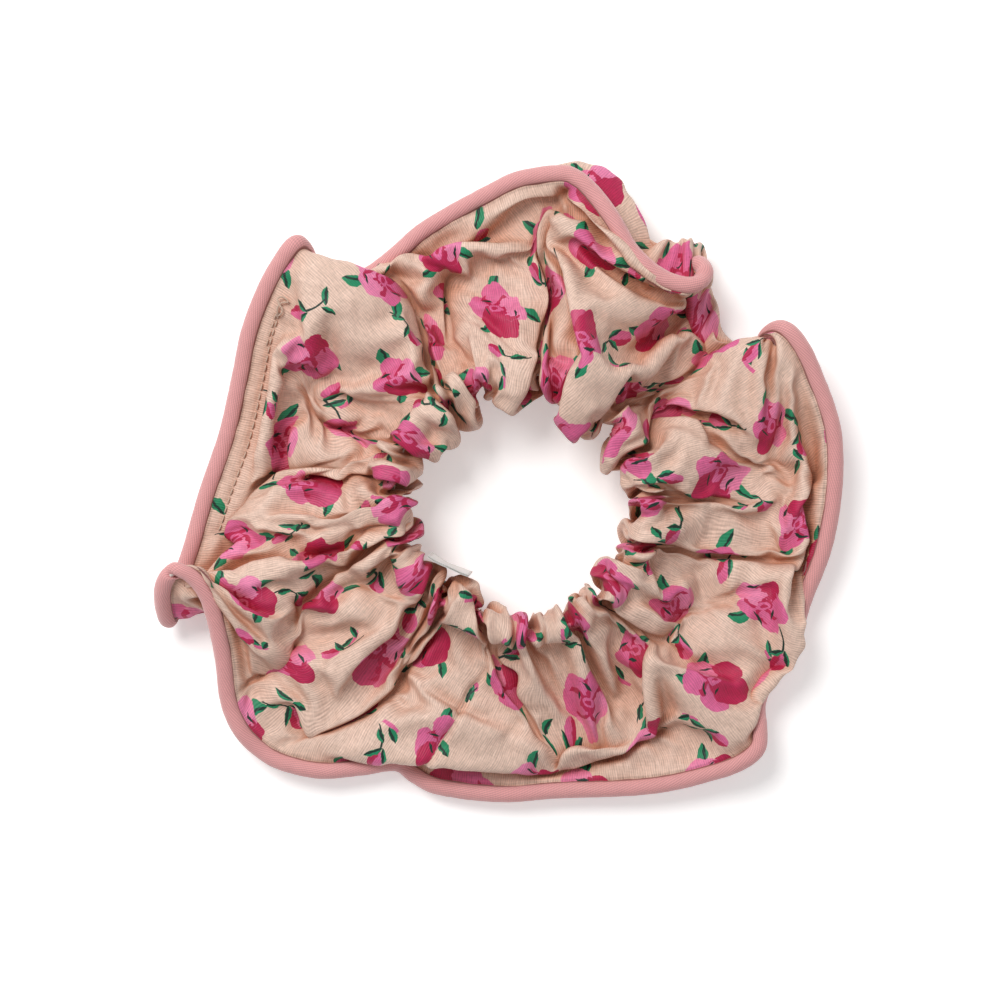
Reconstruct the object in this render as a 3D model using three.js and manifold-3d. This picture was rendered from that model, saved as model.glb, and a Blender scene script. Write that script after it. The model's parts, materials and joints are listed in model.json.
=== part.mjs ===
// A scrunchie: a tube of printed fabric gathered on a hidden elastic ring, with a piped outer seam.
// Millimetres, +Z up. The scrunchie lies flat; its hair opening faces up. Each long piece is made in a
// left and a right half, which slide apart along +X when the ring is stretched.
// Every long piece is a cross-section, drawn in the plane of radius and height, swept round the ring.
import * as THREE from "three";
import { mergeVertices } from "three/addons/utils/BufferGeometryUtils.js";
import Module from "manifold-3d";

// Driving dimensions
const HOLE_RADIUS = 20; // gathered inner fold of the cover
const COVER_HEIGHT = 24; // mean height of the gathered fabric
const GATHER_RISE = 3; // how far the big gathers rise and fall about that height
const GATHER_COUNT = 9;
const FABRIC = 0.8; // thickness of the cover's wall, which stands for soft, puffed cloth
const CASING_HALF = 3.5; // the inner fold is upright for this far above and below the elastic's middle
const TOP_ROLL = { inner: 3, middle: 9, outer: 16, drop: 4 }; // distances out from the inner fold
const SHOULDER = { inset: 12, rise: 3, share: 0.72 }; // the front panel's outer bend, in from the seam
const FLAT_BAND = { inner: 9, outer: 17 }; // the flat underside, from the inner fold and from the seam
const BAND_BEND = 2; // length of the bend at each edge of that flat band
const TURNED_EDGE = 0.9; // the panels turn in this far short of the seam
const PIPING_RADIUS = 1.65;
const TAPE_THICKNESS = 0.5;
const CORD_RADIUS = 0.85; // filler cord inside the piping tape
const FLANGE_WIDTH = 6; // the tape's flat part, caught in the outer seam
const ALLOWANCE = 5; // cover edges turned in beside the flange
const PUFF = { front: 1.2, back: 0.6 }; // how far each panel lifts off the allowance's end
const ELASTIC_RADIUS = 24.5;
const ELASTIC_WIDTH = 6;
const ELASTIC_THICKNESS = 1.2;
const ELASTIC_HEIGHT = 12; // height of the elastic's middle above the surface it lies on
const THREAD_RADIUS = 0.2;
const GAP = 0.3; // clearance between neighbouring pieces
const HALF_GAP_DEG = 0.5; // each half stops this far short of the cut plane
const STEPS_PER_HALF = 30;

const LABEL = { angle: 222, radius: 18.2, width: 8, length: 10, thickness: 0.4, slit: 0.1, top: 17 };
const CLOSING = { from: 144, to: 185, inset: 4.5 };
const END_SEAM_ANGLE = 236;
const ELASTIC_JOIN = { angle: 200, length: 10, bars: 3, margin: 0.8 };

// The piped outer edge, anticlockwise: angle in degrees, distance from the middle of the hole, height.
const EDGE = [
  [0, 58.5, 6.5], [12, 60.5, 7.5], [24, 60.5, 9], [33, 59, 9.5], [43, 53.5, 6],
  [54, 54, 8], [67, 58.5, 11], [80, 65.5, 11], [92, 61, 10], [106, 55.5, 7],
  [118, 54, 4.5], [130, 62.5, 7], [142, 62, 6.5], [156, 58.5, 5.5], [170, 57.5, 5],
  [183, 61.5, 4.5], [194, 68.5, 8], [208, 66, 8], [220, 68.5, 5.5], [230, 66, 4.5],
  [242, 58.5, 4], [256, 55.5, 4], [272, 56, 4], [288, 58, 4], [302, 62.5, 5],
  [311, 64.5, 5.5], [322, 59.5, 4], [334, 58, 4], [348, 56.5, 5],
];

const wasm = await Module();
wasm.setup();

// Geometry helpers

const radians = THREE.MathUtils.degToRad;

/** Radius and height of the piping's centre at an angle in degrees, by a cubic through EDGE. */
function edgeAt(angle) {
  const n = EDGE.length;
  const turned = THREE.MathUtils.euclideanModulo(angle, 360);
  let i = n - 1;
  while (EDGE[i][0] > turned) i -= 1;
  const point = (k) => {
    const [a, r, h] = EDGE[THREE.MathUtils.euclideanModulo(k, n)];
    return [a + 360 * Math.floor(k / n), r, h];
  };
  const [before, start, end, after] = [i - 1, i, i + 1, i + 2].map(point);
  const span = end[0] - start[0];
  const t = (turned - start[0]) / span;
  const blend = (k) => {
    const slopeIn = ((end[k] - before[k]) / (end[0] - before[0])) * span;
    const slopeOut = ((after[k] - start[k]) / (after[0] - start[0])) * span;
    return (
      start[k] * (2 * t ** 3 - 3 * t ** 2 + 1) +
      slopeIn * (t ** 3 - 2 * t ** 2 + t) +
      end[k] * (3 * t ** 2 - 2 * t ** 3) +
      slopeOut * (t ** 3 - t ** 2)
    );
  };
  return { radius: blend(1), height: blend(2) };
}

/** A closed outline of the given thickness around a line of [radius, height] points. */
function thicken(line, thickness) {
  const points = line.map(([r, h]) => new THREE.Vector2(r, h));
  const sides = [[], []];
  points.forEach((p, i) => {
    const along = points[Math.min(i + 1, points.length - 1)].clone();
    along.sub(points[Math.max(i - 1, 0)]).normalize();
    const across = new THREE.Vector2(-along.y, along.x).multiplyScalar(thickness / 2);
    sides[0].push(p.clone().add(across));
    sides[1].unshift(p.clone().sub(across));
  });
  return [...sides[0], ...sides[1]];
}

/** A circle as a closed outline, starting at the given angle in degrees. */
function circle(radius, height, size, sides, first = 0, last = 360) {
  const whole = last - first === 360;
  return Array.from({ length: sides }, (_, i) => {
    const a = radians(first + ((last - first) * i) / (whole ? sides : sides - 1));
    return new THREE.Vector2(radius + size * Math.cos(a), height + size * Math.sin(a));
  });
}

/** Sweeps the outline given by outlineAt(angle) round the Z axis, and closes both ends. */
function ringSweep(outlineAt, from, to, steps) {
  const rings = [];
  for (let i = 0; i <= steps; i++) {
    const angle = from + ((to - from) * i) / steps;
    const [c, s] = [Math.cos(radians(angle)), Math.sin(radians(angle))];
    const outline = outlineAt(angle);
    if (THREE.ShapeUtils.isClockWise(outline)) outline.reverse();
    rings.push({ outline, points: outline.map((p) => [p.x * c, p.x * s, p.y]) });
  }
  const n = rings[0].points.length;
  const faces = [];
  for (let i = 0; i < steps; i++) {
    for (let j = 0; j < n; j++) {
      const [a, b] = [i * n + j, i * n + ((j + 1) % n)];
      faces.push(a, a + n, b, b, a + n, b + n);
    }
  }
  for (const [ring, turned] of [[0, false], [steps, true]]) {
    for (const [a, b, c] of THREE.ShapeUtils.triangulateShape(rings[ring].outline, [])) {
      const base = ring * n;
      faces.push(base + a, ...(turned ? [base + c, base + b] : [base + b, base + c]));
    }
  }
  return closedGeometry(rings.flatMap((r) => r.points).flat(), faces);
}

/** Geometry from a list of coordinates and a list of triangles, turned to face outwards. */
function closedGeometry(coordinates, faces) {
  const geometry = new THREE.BufferGeometry();
  geometry.setAttribute("position", new THREE.Float32BufferAttribute(coordinates, 3));
  geometry.setIndex(faces);
  const at = (k) => new THREE.Vector3().fromArray(coordinates, 3 * k);
  let volume = 0;
  for (let i = 0; i < faces.length; i += 3) {
    volume += at(faces[i]).dot(at(faces[i + 1]).cross(at(faces[i + 2])));
  }
  if (volume < 0) {
    for (let i = 0; i < faces.length; i += 3) {
      [faces[i + 1], faces[i + 2]] = [faces[i + 2], faces[i + 1]];
    }
    geometry.setIndex(faces);
  }
  geometry.computeVertexNormals();
  return geometry;
}

function toSolid(geometry) {
  const bare = new THREE.BufferGeometry();
  bare.setAttribute("position", geometry.getAttribute("position"));
  bare.setIndex(geometry.getIndex());
  const merged = mergeVertices(bare, 1e-4);
  return new wasm.Manifold(
    new wasm.Mesh({
      numProp: 3,
      vertProperties: new Float32Array(merged.attributes.position.array),
      triVerts: new Uint32Array(merged.index.array),
    }),
  );
}

/** One geometry less another, both closed. */
function cut(whole, tool) {
  const mesh = toSolid(whole).subtract(toSolid(tool)).getMesh();
  const geometry = new THREE.BufferGeometry();
  geometry.setAttribute("position", new THREE.BufferAttribute(mesh.vertProperties, 3));
  geometry.setIndex(new THREE.BufferAttribute(mesh.triVerts, 1));
  return geometry;
}

/** A thin closed thread along the given points. */
function threadAlong(points) {
  const path = new THREE.CatmullRomCurve3(points);
  const section = new THREE.Shape().absarc(0, 0, THREAD_RADIUS, 0, 2 * Math.PI);
  return new THREE.ExtrudeGeometry(section, {
    steps: 2 * points.length,
    curveSegments: 3,
    bevelEnabled: false,
    extrudePath: path,
  });
}

const onRing = (angle, radius, height) =>
  new THREE.Vector3(
    radius * Math.cos(radians(angle)),
    radius * Math.sin(radians(angle)),
    height,
  );

// Cross-sections

const seamRadius = (edge) => edge.radius - PIPING_RADIUS - GAP;
const gather = (angle) => Math.cos(radians(GATHER_COUNT * angle));
const topAt = (angle) => COVER_HEIGHT + GATHER_RISE * gather(angle);

/**
 * The middle of the cover's wall, from the front allowance round the elastic to the back allowance.
 * The back panel's flat band is the underside that the scrunchie lies on.
 */
function coverLine(angle) {
  const edge = edgeAt(angle);
  const [seam, h, top] = [seamRadius(edge), edge.height, topAt(angle)];
  const inner = HOLE_RADIUS + 0.4 * gather(2 * angle);
  const layer = TAPE_THICKNESS / 2 + GAP + FABRIC / 2; // from the flange's middle to an allowance
  const panel = layer + FABRIC + GAP; // from the flange's middle to the panel over the allowance
  const floor = FABRIC / 2;
  const shoulder = Math.max(h + panel + SHOULDER.rise, top * SHOULDER.share);
  const turned = seam - TURNED_EDGE;
  return [
    [seam - ALLOWANCE, h + layer],
    [turned, h + layer],
    [turned, h + panel],
    [seam - ALLOWANCE, h + panel + PUFF.front],
    [seam - SHOULDER.inset, shoulder],
    [inner + TOP_ROLL.outer, top - 1],
    [inner + TOP_ROLL.middle, top],
    [inner + TOP_ROLL.inner, top - TOP_ROLL.drop],
    [inner, ELASTIC_HEIGHT + CASING_HALF],
    [inner, ELASTIC_HEIGHT - CASING_HALF],
    [inner + 2.5, 3],
    [inner + FLAT_BAND.inner - BAND_BEND, floor],
    [inner + FLAT_BAND.inner, floor],
    [seam - FLAT_BAND.outer, floor],
    [seam - FLAT_BAND.outer + BAND_BEND, floor],
    [seam - ALLOWANCE - BAND_BEND, Math.max(floor, h - panel - PUFF.back)],
    [turned, Math.max(floor, h - panel)],
    [turned, h - layer],
    [seam - ALLOWANCE, h - layer],
  ];
}

const coverOutline = (angle) => thicken(coverLine(angle), FABRIC);

/** The tape: round where it wraps the cord, with a flat flange towards the ring. */
function tapeOutline(angle) {
  const { radius, height } = edgeAt(angle);
  const half = TAPE_THICKNESS / 2;
  const turn = THREE.MathUtils.radToDeg(Math.asin(half / PIPING_RADIUS));
  const inner = seamRadius({ radius }) - FLANGE_WIDTH;
  return [
    ...circle(radius, height, PIPING_RADIUS, 12, turn - 180, 180 - turn),
    new THREE.Vector2(inner, height + half),
    new THREE.Vector2(inner, height - half),
  ];
}

const boreOutline = (angle) => {
  const { radius, height } = edgeAt(angle);
  return circle(radius, height, PIPING_RADIUS - TAPE_THICKNESS, 8);
};

const cordOutline = (angle) => {
  const { radius, height } = edgeAt(angle);
  return circle(radius, height, CORD_RADIUS, 8);
};

const elasticOutline = () => {
  const [x, z] = [ELASTIC_THICKNESS / 2, ELASTIC_WIDTH / 2];
  return [[-x, -z], [x, -z], [x, z], [-x, z]].map(
    ([dx, dz]) => new THREE.Vector2(ELASTIC_RADIUS + dx, ELASTIC_HEIGHT + dz),
  );
};

/** The line of stitches that holds the outer seam, just inside the front allowance. */
const seamThreadOutline = (angle) => {
  const edge = edgeAt(angle);
  const reach = seamRadius(edge) - ALLOWANCE - GAP - THREAD_RADIUS;
  const lift = TAPE_THICKNESS / 2 + GAP + THREAD_RADIUS;
  return circle(reach, edge.height + lift, THREAD_RADIUS, 6);
};

// Materials

const material = (colour, roughness) =>
  new THREE.MeshStandardMaterial({ color: colour, roughness, metalness: 0 });
const printedFabric = material(0xe6c3a2, 0.7);
const pipingFabric = material(0xd98f93, 0.75);
const cordFibre = material(0xece6da, 0.9);
const elasticRubber = material(0xf2efe9, 0.8);
const creamThread = material(0xe2cfae, 0.7);
const labelSatin = material(0xf4f1ee, 0.5);

// Pieces

const scrunchie = new THREE.Group();

function add(name, geometry, finish) {
  const mesh = new THREE.Mesh(geometry, finish);
  mesh.name = name;
  scrunchie.add(mesh);
}

function addHalves() {
  const halves = { left: [90, 270], right: [-90, 90] };
  for (const [side, [low, high]] of Object.entries(halves)) {
    const [from, to] = [low + HALF_GAP_DEG, high - HALF_GAP_DEG];
    const swept = (outlineAt) => ringSweep(outlineAt, from, to, STEPS_PER_HALF);
    const bore = ringSweep(boreOutline, low, high, STEPS_PER_HALF);
    add(`cover_${side}`, swept(coverOutline), printedFabric);
    add(`elastic_${side}`, swept(elasticOutline), elasticRubber);
    add(`piping_tape_${side}`, cut(swept(tapeOutline), bore), pipingFabric);
    add(`piping_cord_${side}`, swept(cordOutline), cordFibre);
    add(`piping_seam_thread_${side}`, swept(seamThreadOutline), creamThread);
  }
}

/** The topstitched line that closes the opening the tube was turned through. */
function addClosingStitch() {
  const points = [];
  for (let angle = CLOSING.from; angle <= CLOSING.to; angle += 4) {
    const edge = edgeAt(angle);
    const radius = edge.radius - CLOSING.inset;
    const line = coverLine(angle);
    const [low, high] = [line[3], line[2]];
    const t = (radius - low[0]) / (high[0] - low[0]);
    const surface = low[1] + t * (high[1] - low[1]) + FABRIC / 2;
    points.push(onRing(angle, radius, surface + GAP + 2 * THREAD_RADIUS));
  }
  add("closing_stitch", threadAlong(points), creamThread);
}

/** The thread that joins the strip's two ends, inside the tube. */
function addEndSeamThread() {
  const line = coverLine(END_SEAM_ANGLE).slice(4, 15);
  const middle = new THREE.Vector2();
  for (const [r, h] of line) middle.add(new THREE.Vector2(r, h));
  middle.divideScalar(line.length);
  const inset = FABRIC / 2 + GAP + 2 * THREAD_RADIUS;
  const points = line.map(([r, h]) => {
    const p = new THREE.Vector2(r, h);
    p.add(middle.clone().sub(p).setLength(1.6 * inset));
    return onRing(END_SEAM_ANGLE, p.x, p.y);
  });
  add("end_seam_thread", threadAlong(points), creamThread);
}

/** Zigzag stitches over the lap where the elastic's two ends meet. */
function addElasticJoin() {
  const radius = ELASTIC_RADIUS + ELASTIC_THICKNESS / 2 + GAP + THREAD_RADIUS;
  const reach = ELASTIC_WIDTH / 2 - ELASTIC_JOIN.margin;
  const count = 2 * ELASTIC_JOIN.bars;
  const spread = THREE.MathUtils.radToDeg(ELASTIC_JOIN.length / radius);
  const points = Array.from({ length: count + 1 }, (_, i) => {
    const angle = ELASTIC_JOIN.angle + spread * (i / count - 0.5);
    return onRing(angle, radius, ELASTIC_HEIGHT + (i % 2 ? reach : -reach));
  });
  add("elastic_join_thread", threadAlong(points), creamThread);
}

/** A blank folded care label that hangs down inside the hole. */
function addLabel() {
  const leaf = (LABEL.thickness - LABEL.slit) / 2;
  const shape = new THREE.Shape();
  const [outer, gap] = [LABEL.thickness / 2, LABEL.thickness / 2 - leaf];
  shape.moveTo(-outer, 0);
  shape.lineTo(-outer, -LABEL.length);
  shape.lineTo(outer, -LABEL.length);
  shape.lineTo(outer, 0);
  shape.lineTo(gap, 0);
  shape.lineTo(gap, -LABEL.length + leaf);
  shape.lineTo(-gap, -LABEL.length + leaf);
  shape.lineTo(-gap, 0);
  const geometry = new THREE.ExtrudeGeometry(shape, {
    depth: LABEL.width,
    bevelEnabled: false,
  });
  geometry.translate(0, 0, -LABEL.width / 2);
  geometry.rotateX(Math.PI / 2); // the shape's Y becomes +Z, its depth runs round the ring
  geometry.rotateZ(radians(LABEL.angle));
  const at = onRing(LABEL.angle, LABEL.radius, LABEL.top);
  geometry.translate(at.x, at.y, at.z);
  add("care_label", geometry, labelSatin);
}

addHalves();
addClosingStitch();
addEndSeamThread();
addElasticJoin();
addLabel();

// The part's origin is the middle of its box, on the surface that it lies on.
const box = new THREE.Box3().setFromObject(scrunchie);
const middle = box.getCenter(new THREE.Vector3());
for (const piece of scrunchie.children) piece.position.set(-middle.x, -middle.y, -box.min.z);

export default scrunchie;
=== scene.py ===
"""A scrunchie with a floral cover and a piped outer seam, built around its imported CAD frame.

Blender works in metres, +Z up. The lists and sizes here are in millimetres, in the frame's own axes.
The cover is a strip of cloth folded lengthwise into a tube. Cloth simulation gathers the tube round the
elastic and lays its outer seam along the piping, and everything else is placed on the result.
"""

import json
import math

import bpy
import numpy as np
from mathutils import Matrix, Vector, noise


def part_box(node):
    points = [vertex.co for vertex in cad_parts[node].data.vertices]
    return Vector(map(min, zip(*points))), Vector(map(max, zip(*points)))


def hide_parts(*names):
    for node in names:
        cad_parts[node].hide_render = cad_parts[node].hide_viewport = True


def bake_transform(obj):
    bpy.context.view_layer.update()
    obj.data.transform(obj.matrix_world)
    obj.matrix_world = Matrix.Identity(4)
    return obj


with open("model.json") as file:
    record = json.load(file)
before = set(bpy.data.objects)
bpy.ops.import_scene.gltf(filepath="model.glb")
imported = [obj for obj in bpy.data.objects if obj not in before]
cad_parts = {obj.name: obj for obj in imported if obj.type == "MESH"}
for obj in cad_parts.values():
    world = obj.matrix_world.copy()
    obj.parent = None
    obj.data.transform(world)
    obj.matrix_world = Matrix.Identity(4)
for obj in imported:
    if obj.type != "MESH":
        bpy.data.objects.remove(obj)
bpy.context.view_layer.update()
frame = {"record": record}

MM = 0.001
SEED = 5

# Sizes of the cloth and its trims
PANEL_WIDTH = 57.0  # from the inner fold to the outer seam
PIPING_RADIUS = 1.65
FILLER_RADIUS = 0.85
THREAD_RADIUS = 0.16
ELASTIC_THICKNESS = 1.2
RIB_PITCH = 0.45  # of the crepe's fine ribs
REPEAT = (25.0, 18.5)  # of the print, along the strip and across it
LABEL_WIDTH = 8.0
LABEL_THICKNESS = 0.14
SIM_COLUMNS = 220  # cloth points along the strip
SIM_ROWS = 52  # spaces between cloth points across the strip
ROW_SPACING = 2 * PANEL_WIDTH / SIM_ROWS
FINE = 4  # points of the shown surface for each cloth point, each way
SHARPENING = 1  # how closely that surface keeps to the simulated points

# The camera's view: its width at the piping's mean height, that height, and the view's middle
VIEW_WIDTH = 191.5
VIEW_HEIGHT = 8.0
VIEW_MIDDLE = (-0.29, -4.02)

# The hair opening's middle and the elastic's size come from the frame.
opening = next(m for m in frame["record"]["mounts"] if m["name"] == "hair_opening")
CENTRE = np.array([opening["pos_m"][0], opening["pos_m"][1], 0.0]) / MM
elastic_low, elastic_high = (np.array(corner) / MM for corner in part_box("elastic_left"))
ELASTIC_HEIGHT = (elastic_low[2] + elastic_high[2]) / 2
ELASTIC_WIDTH = elastic_high[2] - elastic_low[2]
ELASTIC_RADIUS = CENTRE[0] - elastic_low[0] - ELASTIC_THICKNESS / 2

# The piping's centre line, anticlockwise from the right: x, y and height above the table.
PIPING_ROUTE = [
    # the right lobe, up to its tip, where the seam turns under
    (58.3, -22.6, 6), (61.7, -13.2, 7.5), (63.5, -2.1, 9), (63.1, 9.4, 10.5), (59.4, 19.9, 12),
    (56.4, 25.7, 13), (53.5, 28.5, 12.5), (51.0, 27.6, 9.5), (49.5, 24.6, 5.5),
    # under the right lobe to the top lobe's hook
    (46.2, 22.0, 3.5), (41.6, 22.9, 3), (38.2, 28.3, 3), (37.2, 35.4, 4.5), (36.7, 39.4, 7),
    (37.6, 41.0, 10), (38.6, 39.2, 13), (37.2, 37.1, 14.5), (34.6, 36.6, 15),
    # the top lobe
    (30.9, 37.7, 15), (27.5, 40.0, 15), (24.2, 43.5, 14.5), (21.0, 49.2, 14), (17.7, 53.8, 13),
    (14.5, 56.9, 12.5), (11.2, 58.0, 12), (3.5, 57.1, 10.5), (-2.2, 54.6, 9), (-9.9, 50.7, 7),
    (-15.6, 47.3, 5.5), (-20.4, 43.1, 5), (-25.2, 39.6, 4),
    # under the upper left lobe to its tip
    (-30.0, 37.3, 3.5), (-34.0, 38.7, 4), (-36.5, 41.5, 6.5), (-37.8, 44.0, 10), (-39.2, 44.6, 12.5),
    # down the upper left lobe, and under the lower left one
    (-41.8, 41.5, 12), (-45.1, 35.8, 10.5), (-48.2, 28.1, 8.5), (-50.3, 19.0, 6.5), (-52.9, 8.4, 5),
    (-56.8, -2.7, 4), (-59.6, -12.3, 3.5), (-61.6, -18.4, 3), (-62.9, -23.5, 3),
    # the lower left lobe's hook
    (-64.0, -27.0, 5.5), (-64.6, -24.3, 9.5), (-64.2, -20.5, 13), (-62.5, -17.8, 15),
    (-60.2, -17.4, 15.5), (-57.5, -19.3, 15), (-55.2, -23.5, 13.5),
    # the lower left lobe
    (-53.3, -32.7, 10), (-52.4, -42.3, 7), (-50.1, -48.1, 6), (-46.6, -51.9, 5), (-42.4, -54.4, 5),
    (-34.8, -56.1, 5), (-27.1, -55.5, 4.5), (-22.3, -54.8, 4), (-19.4, -55.1, 3),
    # the bottom edge
    (-16.6, -57.2, 3), (-11.8, -59.4, 3.5), (-0.3, -60.7, 4), (11.2, -59.9, 4.5), (22.7, -59.5, 5),
    (31.3, -58.6, 5.5), (39.0, -56.7, 6.5), (45.3, -54.4, 8), (48.9, -51.5, 8.5), (49.3, -47.5, 8),
    (49.1, -43.3, 7), (50.6, -39.6, 5),
    # under the lower right lobe
    (53.7, -35.6, 4), (56.0, -30.8, 4), (57.2, -26.6, 4.5),
]

# Lines along which neighbouring rolls of the front panel meet. Smooth rods press the cloth down there.
CREASES = [
    # between the lower left lobe and the upper left one, and the hollow above it
    [(-53, -11, 5), (-49, -5, 5), (-46, -1, 5), (-37, 1, 6), (-29, 2, 7), (-22, -1, 9.5), (-18, -4, 14)],
    [(-38, 18, 5), (-35, 11, 3.5), (-30, 9, 3.5), (-24, 7, 6), (-18, 5, 12.5)],
    # between the upper left lobe and the top one
    [(-11, 42, 4), (-11, 34, 4), (-10, 26, 6)],
    [(-22, 42, 4), (-18, 35, 5), (-15, 28, 6), (-13, 20, 9.5), (-11, 12, 15)],
    # the top lobe, and between it and the right one
    [(13, 56, 9.5), (8, 47, 8.5), (7, 42, 8.5), (9, 35, 8.5), (9, 28, 11), (7, 20, 15)],
    [(40, 25, 4), (36, 20, 5), (28, 16, 8.5), (17, 10, 15)],
    [(37, 20, 5), (30, 14, 7), (26, 7, 9.5), (21, 3, 15)],
    # the right lobe
    [(25, -3, 14), (38, -4, 9.5), (47, -5, 7), (57, -2, 6)],
    [(43, 4, 8.5), (49, 3, 6), (57, 0, 5), (61, 0, 6)],
    [(24, -13, 14), (33, -13, 9.5), (43, -14, 7), (56, -16, 5)],
    # the bottom roll
    [(19, -24, 14), (25, -28, 9.5), (30, -31, 8.5), (36, -25, 7), (44, -23, 6)],
    [(-6, -21, 14), (-3, -31, 9.5), (-1, -38, 8.5), (4, -45, 7), (8, -51, 5)],
    [(29, -48, 6), (22, -52, 5), (14, -54, 4.5), (7, -58, 4)],
    # the lower left lobe
    [(-11, -21, 14), (-13, -27, 11), (-16, -31, 8.5), (-20, -38, 6)],
    [(-21, -40, 7), (-28, -46, 6), (-36, -49, 5), (-45, -51, 4.5)],
    [(-39, -23, 8.5), (-39, -28, 7), (-40, -33, 6), (-45, -37, 5), (-50, -39, 5)],
    [(-36, -8, 11), (-26, -8, 12.5), (-18, -12, 15)],
    [(-34, -14, 9.5), (-26, -20, 9.5), (-20, -23, 11), (-14, -21, 14)],
]
CREASE_RADIUS = 1.3

# Where a panel's slack swells out past the piping: each swelling is on the front (1) or the back (-1),
# runs between two places on the piping, and follows a line of its own.
SWELLINGS = [
    # between the right lobe and the top one
    (1, (49.0, 24.2), (38.4, 27.8), [(51.5, 27.0, 10), (48.6, 26.6, 8), (44.6, 26.4, 7), (41.2, 28.2, 7)]),
    # behind the top lobe
    (-1, (38.2, 28.3), (22.5, 46.2),
     [(41.0, 35.0, 5), (40.0, 42.5, 6), (37.0, 46.6, 7), (32.5, 46.2, 7), (28.0, 45.4, 8)]),
    (-1, (20.0, 51.0), (4.5, 57.4),
     [(25.2, 54.0, 8), (23.2, 58.0, 6), (18.7, 60.8, 6), (13.0, 61.2, 6), (8.0, 59.0, 7)]),
    # the roll below the right lobe
    (1, (50.6, -39.6), (57.2, -26.6),
     [(52.4, -39.8, 9), (56.4, -36.2, 10), (58.8, -30.6, 11), (58.2, -26.4, 11)]),
]
SWELLING_DEPTHS = {1: 7.0, -1: 10.0}  # how far across each panel they lie from the outer seam

# Where the closing stitches start and end, and where the strip's joined ends meet the piping
CLOSING_TOP = (-45.3, 34.0)
CLOSING_BOTTOM = (-56.0, -10.0)
END_SEAM_FOOT = (-17.5, -56.5)
CLOSING_DEPTH = 2 * ROW_SPACING  # across the panels, from the outer seam

# Where the elastic's ends overlap
ELASTIC_JOIN_TURN = math.radians(200)
ELASTIC_OVERLAP = 10.0


# ---------------------------------------------------------------- curves and the cloth's surface


def through(points, steps, closed=False):
    """A smooth line through the points, with so many steps between neighbours."""
    points = np.array(points, float)
    count = len(points)
    spans = range(count if closed else count - 1)
    line = []
    for i in spans:
        picks = [i - 1, i, i + 1, i + 2]
        a, b, c, d = (points[k % count if closed else min(max(k, 0), count - 1)] for k in picks)
        square, cube = 2 * a - 5 * b + 4 * c - d, 3 * b - a - 3 * c + d
        for t in np.arange(steps) / steps:
            line.append((2 * b + (c - a) * t + square * t**2 + cube * t**3) / 2)
    if not closed:
        line.append(points[-1])
    return np.array(line)


def unit(vectors):
    return vectors / np.maximum(np.linalg.norm(vectors, axis=-1, keepdims=True), 1e-9)


def smoothed(values, spacing, width):
    """Values along a closed line, blurred over a width."""
    waves = np.fft.fftfreq(len(values), d=spacing)
    fade = np.exp(-2 * (np.pi * waves * width) ** 2)
    if values.ndim == 2:
        fade = fade[:, None]
    return np.real(np.fft.ifft(np.fft.fft(values, axis=0) * fade, axis=0))


class Route:
    """The piping's closed centre line, which the strip's length is cut to."""

    def __init__(self, points):
        line = through(points, 12, closed=True)
        steps = np.linalg.norm(np.roll(line, -1, axis=0) - line, axis=1)
        self.line = np.vstack([line, line[:1]])
        self.arc = np.concatenate([[0], np.cumsum(steps)])
        self.length = self.arc[-1]

    def at(self, distance):
        distance = np.mod(distance, self.length)
        return np.stack([np.interp(distance, self.arc, self.line[:, k]) for k in range(3)], axis=-1)

    def nearest(self, x, y):
        """The distance along the route to the place nearest to x, y."""
        return self.arc[np.argmin(np.hypot(self.line[:, 0] - x, self.line[:, 1] - y))]

    def frames(self, count):
        """Evenly spaced places on the route, with the way along, inwards into the cover, and up from it."""
        places = self.at(np.arange(count) * self.length / count)
        along = unit(np.roll(places, -1, axis=0) - np.roll(places, 1, axis=0))
        inwards = CENTRE - places
        inwards[:, 2] = 0
        inwards = unit(inwards)
        inwards -= 0.8 * np.sum(inwards * along, axis=1, keepdims=True) * along
        inwards = unit(smoothed(inwards, self.length / count, 2.0))
        return places, along, inwards, unit(np.cross(along, inwards))


route = Route(PIPING_ROUTE)
STRIP_LENGTH = route.length
SEAM_START = route.nearest(*END_SEAM_FOOT)  # the strip's own length is measured from its end seam


def in_closing(u):
    """Whether each distance along the route lies between the closing stitches' ends."""
    u = np.mod(u, STRIP_LENGTH)
    return (u > route.nearest(*CLOSING_TOP)) & (u < route.nearest(*CLOSING_BOTTOM))


def faces_of_grid(rows, columns, wrap_rows=False, wrap_columns=True):
    """Quads of a grid, whose rows and columns may each close on themselves."""
    faces = []
    for j in range(rows if wrap_rows else rows - 1):
        row, above = j * columns, (j + 1) % rows * columns
        for i in range(columns if wrap_columns else columns - 1):
            right = (i + 1) % columns
            faces.append((row + i, row + right, above + right, above + i))
    return faces


def renumbered(faces, first):
    """Faces whose points are counted from the first of a longer list."""
    return [tuple(first + k for k in face) for face in faces]


def tube(line, radii, beside, above, sides):
    """The points and faces of a closed tube round a line, with both its ends last."""
    points = []
    for place, b, a, radius in zip(line, beside, above, radii):
        for k in range(sides):
            turn = 2 * math.pi * k / sides
            points.append(place + radius * (math.cos(turn) * b + math.sin(turn) * a))
    first_ring = tuple(range(sides))
    last_ring = tuple(range(len(points) - sides, len(points)))
    return points, [*faces_of_grid(len(line), sides), first_ring[::-1], last_ring]


def square(reach):
    """Corners of a level square round the origin."""
    return [(-reach, -reach, 0), (reach, -reach, 0), (reach, reach, 0), (-reach, reach, 0)]


def spline_weights(t):
    return np.stack([(1 - t) ** 3, 3 * t**3 - 6 * t**2 + 4, -3 * t**3 + 3 * t**2 + 3 * t + 1, t**3]) / 6


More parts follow.
